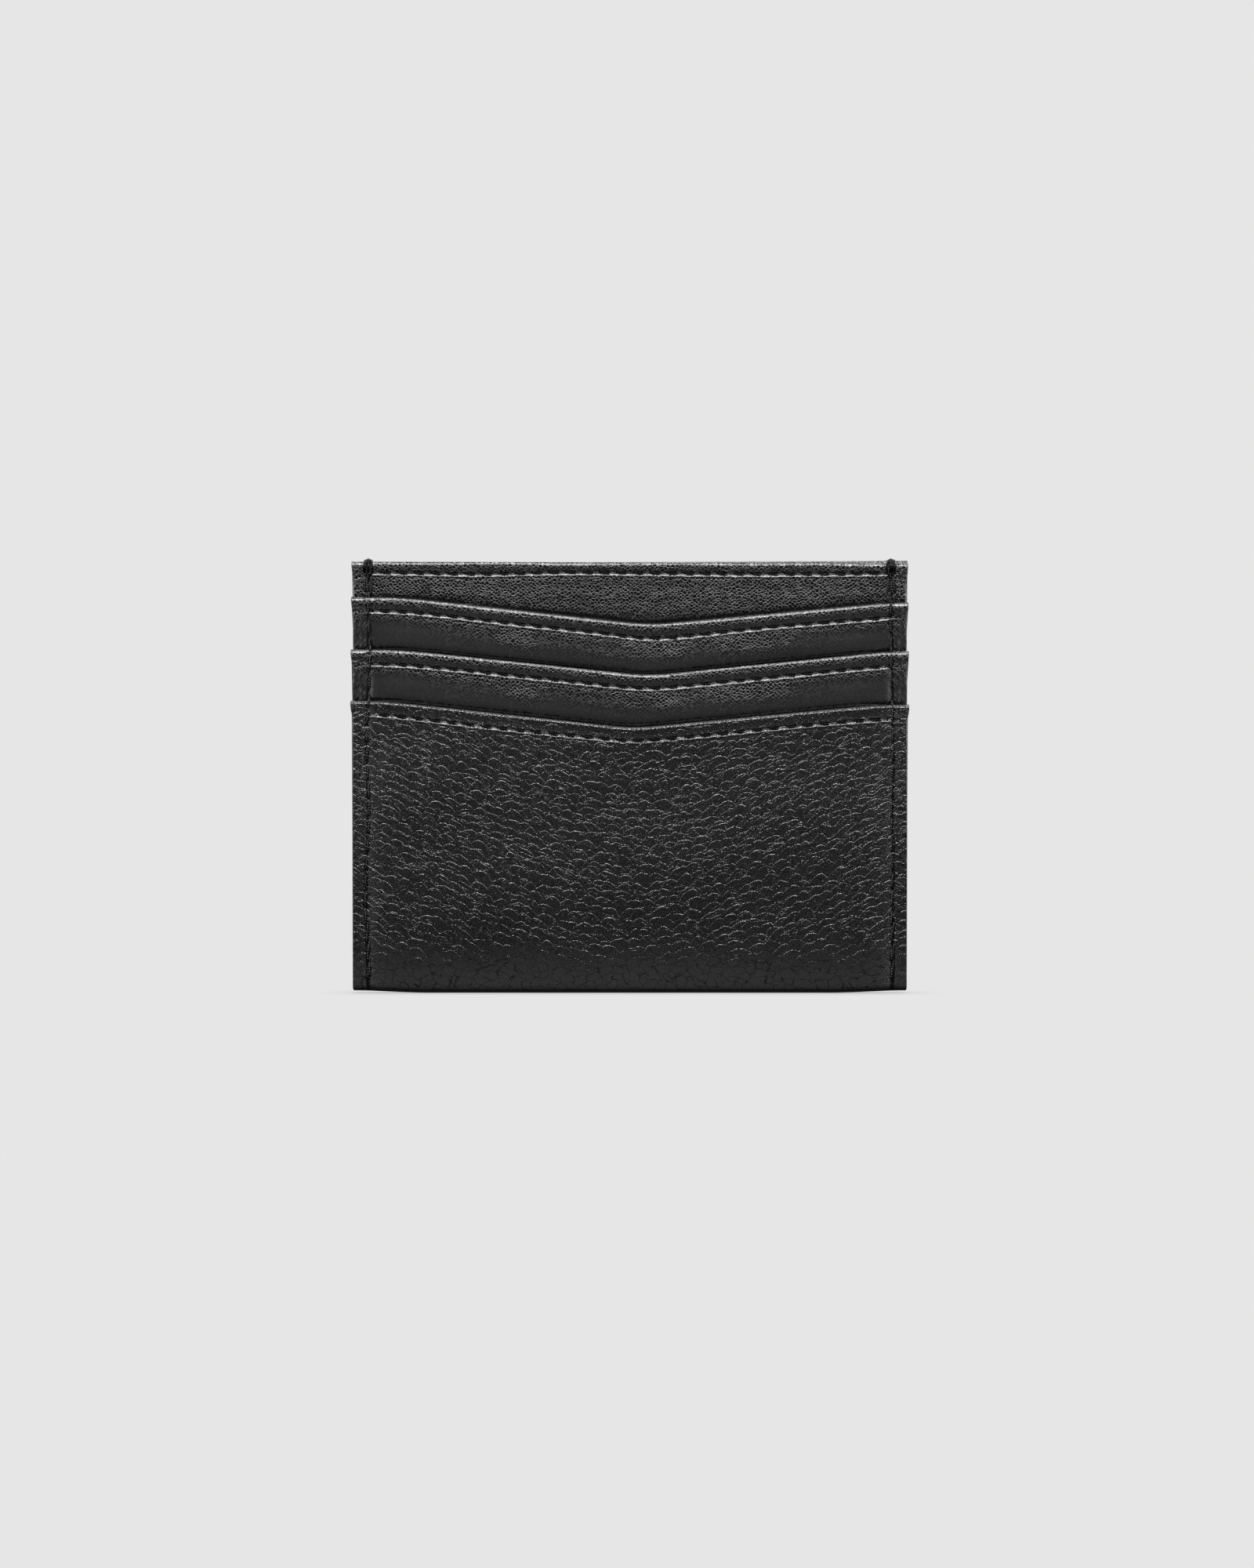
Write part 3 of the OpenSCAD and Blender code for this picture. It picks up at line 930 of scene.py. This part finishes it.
def pebbled_leather():
    """Rows of overlapping pebbles with creases under them, painted dark as shade, calm near the
    fold, where the leather is painted lighter.
    """
    s = Shader("pebbled_leather")
    grain = s.grain()
    u, v, _ = s.split(grain)
    # rows of pebbles hang in a shallow curve that rises to both sides
    hang = s.math("SQRT", s.mul_add(u, u, 170.0))
    level = s.mul_add(hang, -0.42, v)
    place = warped(s, s.join(u, level), 0.10, 3.2)
    place = warped(s, place, 0.45, 0.7)
    place = warped(s, place, 2.4, 0.16)
    above = scales(s, place, 1.65, 2.6, 1.5)
    groove = s.mul(s.step(above, -0.16, 0.0), s.fall(above, 0.0, 0.09))
    # the grain is pulled flat round the fold, where only its creases show
    from_fold = s.size(s.math("ADD", v, 2.0))
    from_fold = s.mul_add(s.noise(grain, 0.13), 5.0, from_fold)
    calm = s.step(from_fold, 7.2, 16.5)
    depth = s.step(s.noise(place, 0.30, 3.0), 0.36, 0.58, 0.40)
    beads = s.step(s.noise(grain, 3.4, 1.0), 0.38, 0.54, 0.25)
    crease = s.mul(groove, s.mul(depth, beads))
    net = s.cells(s.scaled(place, 0.50, 0.72))
    net_depth = s.step(s.noise(place, 0.45), 0.38, 0.60, 0.08, 0.45)
    fold = s.mul(s.fall(net, 0.0, 0.08), s.mul(net_depth, beads))
    cut = s.attribute("cut")
    whole = s.inverse(cut)
    body = s.mul(whole, s.inverse(s.attribute("smoothed")))
    standing = s.mul_add(calm, 0.92, 0.08)
    height = s.mul(s.inverse(s.max(crease, fold)), standing)
    normal = s.bump(s.mul(height, body), 0.092 * MM)
    pores = s.noise(grain, 5.0, 2.0, 0.6)
    uneven = s.scaled(warped(s, grain, 2.0, 0.3), 2.3, 2.6)
    tiny = s.step(s.cells(uneven), 0.0, 0.20)
    micro = s.mul_add(tiny, 0.45, pores)
    micro = s.mul(micro, s.mul_add(calm, 0.40, 0.60))
    normal = s.bump(s.mul(micro, whole), 0.033 * MM, normal)
    tone = s.noise(grain, 0.09, 3.0)
    colour = s.blend(tone, grey(0.0095), grey(0.0125))
    # painted shade: the low parts of the pores are darker
    colour = s.blend(s.step(pores, 0.36, 0.62, 0.85, 0.0), colour, grey(0.0015))
    # painted light: near the fold the leather is lighter, standing in for light bounced up from the
    # floor
    colour = s.blend(calm, grey(0.0140), colour)
    # painted shade along the edges of the tiny cells, weaker near the fold
    tiny_crease_shade = s.mul(s.mul_add(tiny, -0.75, 0.75), s.mul_add(calm, 0.6, 0.4))
    colour = s.blend(tiny_crease_shade, colour, grey(0.0005))
    line = s.mul(s.fall(above, 0.0, 0.16), s.step(above, -0.10, 0.0))
    shade = s.max(line, s.mul(fold, 0.7))
    # near the fold the creases are a net of thin lines of painted shade, with no bump
    curved = warped(s, warped(s, grain, 0.30, 2.4), 1.3, 0.5)
    crackle = s.fall(s.cells(s.scaled(curved, 0.50, 0.76)), 0.0, 0.055)
    faint = s.step(s.noise(grain, 0.8), 0.34, 0.58, 0.25, 0.95)
    bend_shade = s.mul(s.mul(crackle, faint), s.inverse(calm))
    shade = s.max(s.mul(shade, standing), bend_shade)
    # painted shade in the creases under the rows of pebbles, in the net and near the fold
    colour = s.blend(s.mul(shade, body), colour, grey(0.001))
    press, colour = painted_light_and_edge_paint(s, grain, colour, cut)
    rough = s.step(pores, 0.34, 0.62, 0.13, 0.29)
    notch = s.mul(notches(s, grain), s.attribute("shine"))
    # painted shade along thin creases across the polished lines
    colour = s.blend(notch, colour, CREASE_SHADE)
    rough = s.mul_add(s.max(press, bend_shade), -0.15, rough)
    rough = s.mul_add(notch, 0.40, rough)
    rough = s.mul_add(cut, 0.32, rough)
    rough = s.mul_add(s.attribute("shine"), -0.12, rough)
    normal, _ = side_wrinkles(s, grain, normal)
    bead = s.noise(s.scaled(grain, 1.0, 0.5), 3.4, 2.0, 0.6)
    bead = s.mul_add(notch, -0.5, s.mul(bead, s.attribute("shine")))
    normal = s.bump(bead, 0.16 * MM, normal)
    return s.finish(colour, rough, normal)


def painted_light_and_edge_paint(s, grain, colour, cut):
    """Adds painted shade under stitches, on crests and in pockets' mouths, a painted highlight on
    the folds between stitches, and the edge paint on cut leather.
    """
    press = ragged(s, grain, s.attribute("pressed"))
    colour = s.blend(press, colour, PAINTED_SHADE)
    colour = s.blend(pulled_fold_highlight(s, grain), colour, PAINTED_HIGHLIGHT)
    return press, s.blend(cut, colour, PAINT)


def pulled_fold_highlight(s, grain):
    """Painted highlight: two short slanted light lines where the leather is pulled up between each
    stitch and the next, with no bump.
    """
    u, _, _ = s.split(grain)
    count = len(row_holes()) - 1
    start = count / 2 % 1
    turn = s.math("ADD", s.math("DIVIDE", u, STITCH_PITCH / MM), 0.5 + start)
    across = s.mul(s.sub(s.math("FRACT", turn), 0.5), STITCH_PITCH / MM)
    down = s.mul_add(across, -0.32, s.attribute("below_row"))
    apart = s.size(s.sub(s.size(down), 0.13))
    line = s.fall(apart, 0.02, 0.085)
    return s.mul(line, s.fall(s.size(across), 0.40, 0.72))


def notches(s, grain):
    """Thin irregular creases across an edge or a stitch row."""
    u, v, _ = s.split(grain)
    wander = s.noise(grain, 1.1)
    slant = s.mul_add(v, 0.7, s.mul(u, 1.1))
    level = s.math("FRACT", s.mul_add(wander, 1.6, slant))
    return s.fall(s.size(s.sub(level, 0.5)), 0.02, 0.14)


def ragged(s, grain, value):
    """Breaks a soft mask up along slanted streaks."""
    u, v, _ = s.split(grain)
    slanted = s.join(s.mul_add(v, 0.8, s.mul(u, 1.5)), s.mul(v, 2.2))
    streak = s.noise(slanted, 1.0, 3.0, 0.6)
    shifted = s.mul_add(s.sub(streak, 0.5), 1.3, value)
    return s.step(shifted, 0.30, 0.70)


def side_wrinkles(s, grain, normal):
    """Steep short wrinkles in the strips outside the side seams."""
    u, v, _ = s.split(grain)
    out = s.size(u)
    across = s.mul(s.mul_add(v, -0.40, out), 3.6)
    along = s.mul(s.mul_add(out, 0.40, v), 0.80)
    wrinkle = s.noise(s.join(across, along), 1.0, 2.0)
    share = s.step(out, 46.4, 47.4)
    stroke = s.mul_add(s.sub(wrinkle, 0.5), share, 0.5)
    return s.bump(stroke, 0.10 * MM, normal), stroke


def fine_leather():
    """A fine net of ridges with a painted highlight round pits painted dark as shade, pulled flat
    in places.
    """
    s = Shader("fine_leather")
    grain = s.grain()
    place = warped(s, warped(s, grain, 0.35, 0.9), 1.6, 0.22)
    across, down, _ = s.split(place)
    at = s.join(s.mul_add(across, 1.24, s.mul(down, 1.42)),
                s.mul_add(across, -1.24, s.mul(down, 1.42)))
    net = s.fall(s.cells(at, randomness=0.58), 0.0, 0.088)
    # each pit, painted dark as shade, sits a little below the middle of its cell
    lower = s.vector("ADD", at, (-0.07, -0.07, 0.0))
    pit = s.fall(s.cells(lower, "F1", 0.58), 0.36, 0.80)
    pebble = s.mul_add(pit, -0.35, s.mul_add(net, 0.45, 0.5))
    smoothed_by = s.attribute("smoothed")
    patch = s.step(s.noise(grain, 0.5), 0.35, 0.6, 0.75)
    cut = s.attribute("cut")
    body = s.inverse(cut)
    strength = s.mul(s.inverse(smoothed_by), patch)
    strength = s.mul(s.max(strength, 0.10), body)
    normal = s.bump(s.mul(pebble, strength), 0.036 * MM)
    pores = s.noise(grain, 7.0, 3.0, 0.6)
    normal = s.bump(s.mul(pores, body), 0.017 * MM, normal)
    tone = s.noise(grain, 0.12, 3.0)
    colour = s.blend(tone, grey(0.0068), grey(0.0092))
    dark = s.math("MINIMUM", s.mul(s.mul(pit, strength), 1.3), 1.0)
    # painted shade in the pits
    colour = s.blend(dark, colour, CREASE_SHADE)
    # painted highlight along the net's ridges
    colour = s.blend(s.mul(net, strength), colour, grey(0.034))
    press, colour = painted_light_and_edge_paint(s, grain, colour, cut)
    rough = s.step(pores, 0.3, 0.7, 0.21, 0.29)
    rough = s.mul_add(s.max(press, dark), -0.16, rough)
    rough = s.mul_add(cut, 0.32, rough)
    rough = s.mul_add(s.attribute("shine"), -0.09, rough)
    normal, stroke = side_wrinkles(s, grain, normal)
    # painted highlight on the raised parts of the wrinkles and painted shade in their low parts
    colour = s.blend(s.step(stroke, 0.56, 0.66, 0.0, 0.8), colour, grey(0.036))
    colour = s.blend(s.step(stroke, 0.34, 0.44, 0.8, 0.0), colour, CREASE_SHADE)
    bead = s.step(s.noise(grain, 3.0, 2.0, 0.6), 0.36, 0.62)
    normal = s.bump(s.mul(bead, s.attribute("shine")), 0.045 * MM, normal)
    return s.finish(colour, rough, normal)


def thread_finish(name, gloss):
    """Black thread with fine fibres."""
    s = Shader(name)
    place = s.place()
    fibre = s.noise(place, 14000.0, 2.0, 0.6)
    normal = s.bump(fibre, 0.02 * MM)
    colour = s.blend(fibre, grey(0.0012), grey(0.003))
    return s.finish(colour, s.step(fibre, 0.3, 0.7, 0.28, 0.42), normal, Specular_IOR_Level=gloss)


def woven(name, dark, light, pitch):
    """A plain weave: over and under in both directions."""
    s = Shader(name)
    x, _, z = s.split(s.place())
    k = math.pi / pitch
    warp = s.math("SINE", s.mul(x, k))
    weft = s.math("SINE", s.mul(z, k))
    over = s.mul(warp, weft)
    height = s.step(s.size(over), 0.0, 0.8)
    normal = s.bump(height, 0.04 * MM)
    colour = s.blend(s.step(over, -0.6, 0.6), grey(dark), grey(light))
    return s.finish(colour, s.step(height, 0.0, 1.0, 0.9, 0.7), normal, Sheen_Weight=0.2)


def board_finish():
    """Brown fibre board."""
    s = Shader("board")
    place = s.place()
    fibre = s.noise(s.scaled(place, 1.0, 1.0, 0.35), 1600.0, 4.0, 0.7)
    colour = s.blend(fibre, (0.22, 0.16, 0.10, 1), (0.34, 0.26, 0.17, 1))
    return s.finish(colour, 0.9, s.bump(fibre, 0.05 * MM))


# one material for each of the record's slots, and a glossier one for the seams' thread
MATERIALS = {
    "pebbled_leather": pebbled_leather(),
    "fine_leather": fine_leather(),
    "thread": thread_finish("thread", 0.06),
    "seam_thread": thread_finish("seam_thread", 0.18),
    "lining_cloth": woven("lining_cloth", 0.006, 0.014, 0.30 * MM),
    "tape": woven("tape", 0.50, 0.66, 0.22 * MM),
    "board": board_finish(),
}


# -------- build the holder
place_piece(shell_mesh("leather_outer_shell"), "outer_shell")
place_piece(panel_mesh("leather_middle_panel", MIDDLE, 15 * MM), "middle_slot_panel")
place_piece(panel_mesh("leather_upper_panel", UPPER, 15 * MM), "upper_slot_panel")
place_piece(panel_mesh("leather_top_panel", TOP, 22 * MM), "top_front_panel")

HALF_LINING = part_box("front_pocket_lining")[1].x
LININGS = {
    "front_pocket_lining": FRONT, "middle_pocket_lining": MIDDLE,
    "upper_pocket_lining": UPPER, "centre_pocket_front_lining": TOP,
    "centre_pocket_back_lining": BACK,
}
for number, (node, layer) in enumerate(LININGS.items()):
    low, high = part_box(node)
    piece = cloth("cloth_" + node.replace("_lining", ""), node,
                  lambda X, Z, node=node: lining_depth(node, X, Z),
                  lambda X, layer=layer: layer.lip(X) - FLAP_H - 0.2 * MM,
                  low.z, HALF_LINING, LINING_T, 600 + number)

low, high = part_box("back_stiffener")
cloth("board_back_stiffener", "back_stiffener",
      lambda X, Z: inner_face(BACK, X, Z) - STIFFENER_T,
      lambda X: high.z + X * 0, low.z, high.x, STIFFENER_T * 0.96, 620, step=3 * MM)

for layer in LAYERS:
    node = layer.tape
    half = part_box(node)[1].x
    x = np.linspace(-half, half, 120)
    t = np.linspace(0, 1, 8)
    X = np.broadcast_to(x[:, None], (len(x), len(t)))
    Z = layer.lip(X) - FOLD_CAP - TAPE_H * t
    Y = wall_depth(layer, X, Z) + layer.back * layer.leather
    rings = sheet_rings(X, Y, Z, layer.back * TAPE_T)
    place_piece(sweep("tape_" + node.replace("_tape", ""), rings, rings / MM, {}), node)

for number, layer in enumerate(LAYERS):
    thread_mesh(layer.row, row_runs(layer, 700 + number))
for pocket in ("middle", "upper"):
    node = pocket + "_pocket_bottom_stitching"
    low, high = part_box(node)
    thread_mesh(node, hidden_row(pocket + "_pocket_lining", (low.z + high.z) / 2))
for node, side in (("left_side_seam", -1), ("right_side_seam", 1)):
    thread_mesh(node, seam_runs(side), SEAM_PLY_R, "seam_thread")


# -------- floor, light and camera
BACKDROP = 0.7913        # linear value of the pale grey backdrop
CONTACT_SHADE = 0.62     # share of it left where the holder touches the floor
WORLD_LIGHT = 0.06
FLOOR_R, WALL_R, WALL_TOP = 2.0, 0.8, 2.6   # flat part, curve up and height, in metres
AIM_Z = 38 * MM          # the lights aim here, near the holder's middle
EYE_X, EYE_Z = -0.5 * MM, 37.7 * MM
EYE_AWAY = 0.6655        # from the holder's front, in metres


def backdrop():
    """A round floor that rises into a wall, the same from every side."""
    profile = [(0.0, 0.0), (0.05, 0.0), (0.3, 0.0), (1.2, 0.0), (FLOOR_R, 0.0)]
    profile += [(FLOOR_R + WALL_R * math.sin(a), WALL_R * (1 - math.cos(a)))
                for a in np.linspace(0, math.pi / 2, 12)[1:]]
    profile += [(FLOOR_R + WALL_R, WALL_TOP)]
    around = 96
    verts, faces = [(0.0, 0.0, 0.0)], []
    for radius, height in profile[1:]:
        verts += [(radius * math.cos(2 * math.pi * i / around),
                   radius * math.sin(2 * math.pi * i / around), height) for i in range(around)]
    for i in range(around):
        j = (i + 1) % around
        faces.append((0, 1 + i, 1 + j))
        for ring in range(len(profile) - 2):
            a = 1 + ring * around
            faces.append((a + i, a + around + i, a + around + j, a + j))
    mesh = bpy.data.meshes.new("floor")
    mesh.from_pydata(verts, [], faces)
    for face in mesh.polygons:
        face.use_smooth = True
    obj = add("floor", mesh)
    obj.location.z = -0.02 * MM   # just under the holder
    s = Shader("floor", "Emission")
    # painted shadow: the floor's glow is dimmed where the holder hides it nearby
    near = s.node("AmbientOcclusion", samples=8, Distance=9 * MM).outputs["AO"]
    shade = s.node("MapRange", Value=near, To_Min=CONTACT_SHADE * BACKDROP, To_Max=BACKDROP)
    s.put(shade.outputs[0], s.surface.inputs["Strength"])
    obj.data.materials.append(s.material)
    obj.visible_diffuse = False
    obj.visible_glossy = False
    obj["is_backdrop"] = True


backdrop()
for name, place, size, power in (
        ("softbox_top", (0.0, -0.40, 0.68), (0.90, 0.40), 26.0),
        ("softbox_front", (0.0, -1.0, 0.25), (1.0, 0.5), 0.15),
        ("softbox_left", (-0.78, -0.62, 0.30), (0.4, 0.7), 2.2),
        ("softbox_right", (0.78, -0.62, 0.30), (0.4, 0.7), 2.2),
        ("softbox_back_left", (-0.78, 0.50, 0.42), (0.6, 0.7), 9.0),
        ("softbox_back_right", (0.78, 0.50, 0.42), (0.6, 0.7), 9.0),
        ("softbox_back", (0, 0.62, 0.72), (0.9, 0.3), 5.0)):
    data = bpy.data.lights.new(name, "AREA")
    data.shape = "RECTANGLE"
    data.size, data.size_y = size
    data.energy = power
    light = add(name, data)
    light.location = place
    aim = Vector((0, 0, AIM_Z)) - light.location
    light.rotation_euler = aim.to_track_quat("-Z", "Y").to_euler()

world = bpy.data.worlds.new("studio")
world.use_nodes = True
background = world.node_tree.nodes["Background"]
background.inputs["Color"].default_value = (1, 1, 1, 1)
background.inputs["Strength"].default_value = WORLD_LIGHT
bpy.context.scene.world = world
bpy.context.scene.view_settings.view_transform = "Standard"

camera = bpy.data.cameras.new("camera")
camera.lens = 85
camera.sensor_width = 36
camera.clip_start, camera.clip_end = 0.02, 20
eye = add("camera", camera)
eye.location = (EYE_X, cad_low.y - EYE_AWAY, EYE_Z)
eye.rotation_euler = (math.pi / 2, 0, 0)
bpy.context.scene.camera = eye

bpy.context.view_layer.update()
low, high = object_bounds()
